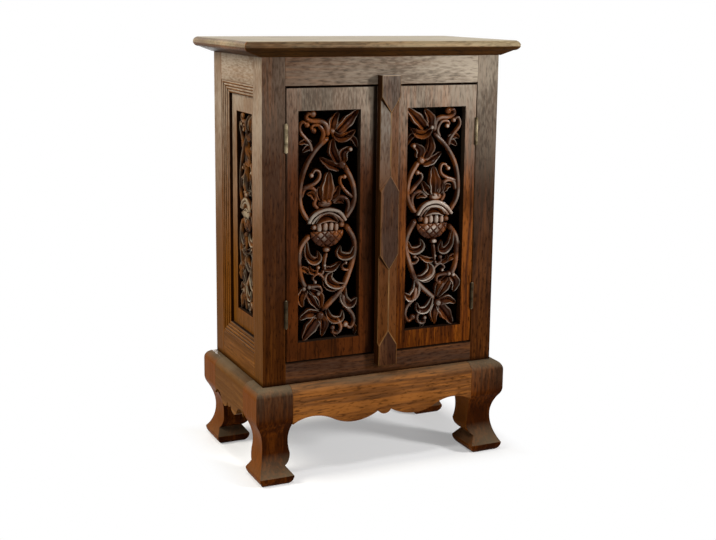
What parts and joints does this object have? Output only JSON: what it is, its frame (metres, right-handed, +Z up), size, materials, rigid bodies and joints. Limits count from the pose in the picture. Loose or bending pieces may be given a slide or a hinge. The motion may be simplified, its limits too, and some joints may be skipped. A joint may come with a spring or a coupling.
{
  "type": "carved bedside cabinet",
  "caption": "Small dark wooden bedside cabinet with pierced carved doors and sides, an overhanging top and square cabriole legs on a scalloped base.",
  "frame": {"origin": "on the floor under the middle of the cabinet", "axes": "+Z up, -Y is the front with the doors, +X is to the right seen from the front"},
  "size_m": [0.478, 0.28, 0.7],
  "materials": {
    "stained_wood": "dark stained hardwood, satin lacquer",
    "carved_wood": "dark stained carved hardwood, rubbed highlights",
    "inner_wood": "dark stain, matt",
    "brass": "dull aged brass",
    "steel_screws": "plated steel"
  },
  "bodies": {
    "carcass": {"back_apron": "stained_wood", "back_bottom_rail": "stained_wood", "back_left_leg": "stained_wood", "back_left_post": "stained_wood", "back_panel": "inner_wood", "back_right_leg": "stained_wood", "back_right_post": "stained_wood", "back_top_rail": "stained_wood", "cabinet_floor": "inner_wood", "door_stop_strip": "inner_wood", "frame_hinge_screws": "steel_screws", "front_apron": "stained_wood", "front_bottom_rail": "stained_wood", "front_left_leg": "stained_wood", "front_left_post": "stained_wood", "front_right_leg": "stained_wood", "front_right_post": "stained_wood", "front_top_rail": "stained_wood", "left_apron": "stained_wood", "left_back_moulding": "stained_wood", "left_bottom_moulding": "stained_wood", "left_bottom_rail": "stained_wood", "left_front_moulding": "stained_wood", "left_hinge_pins": "brass", "left_lower_hinge_frame_leaf": "brass", "left_shelf_cleat": "inner_wood", "left_side_fretwork": "carved_wood", "left_side_panel": "stained_wood", "left_top_moulding": "stained_wood", "left_top_rail": "stained_wood", "left_upper_hinge_frame_leaf": "brass", "right_apron": "stained_wood", "right_back_moulding": "stained_wood", "right_bottom_moulding": "stained_wood", "right_bottom_rail": "stained_wood", "right_front_moulding": "stained_wood", "right_hinge_pins": "brass", "right_lower_hinge_frame_leaf": "brass", "right_shelf_cleat": "inner_wood", "right_side_fretwork": "carved_wood", "right_side_panel": "stained_wood", "right_top_moulding": "stained_wood", "right_top_rail": "stained_wood", "right_upper_hinge_frame_leaf": "brass", "shelf": "inner_wood", "top_board": "stained_wood", "top_dowels": "inner_wood"},
    "left_door": {"left_door_fretwork": "carved_wood", "left_door_hinge_screws": "steel_screws", "left_door_leaf": "stained_wood", "left_lower_hinge_door_leaf": "brass", "left_upper_hinge_door_leaf": "brass"},
    "right_door": {"batten_screws": "steel_screws", "door_batten": "stained_wood", "right_door_fretwork": "carved_wood", "right_door_hinge_screws": "steel_screws", "right_door_leaf": "stained_wood", "right_lower_hinge_door_leaf": "brass", "right_upper_hinge_door_leaf": "brass"}
  },
  "joints": [
    {"name": "left_door_hinge", "type": "hinge", "parent": "carcass", "child": "left_door", "pos_m": [-0.168, -0.1165, 0.4], "axis": [0, 0, -1], "range_deg": [0, 170]},
    {"name": "right_door_hinge", "type": "hinge", "parent": "carcass", "child": "right_door", "pos_m": [0.168, -0.1165, 0.4], "axis": [0, 0, 1], "range_deg": [0, 170]}
  ]
}
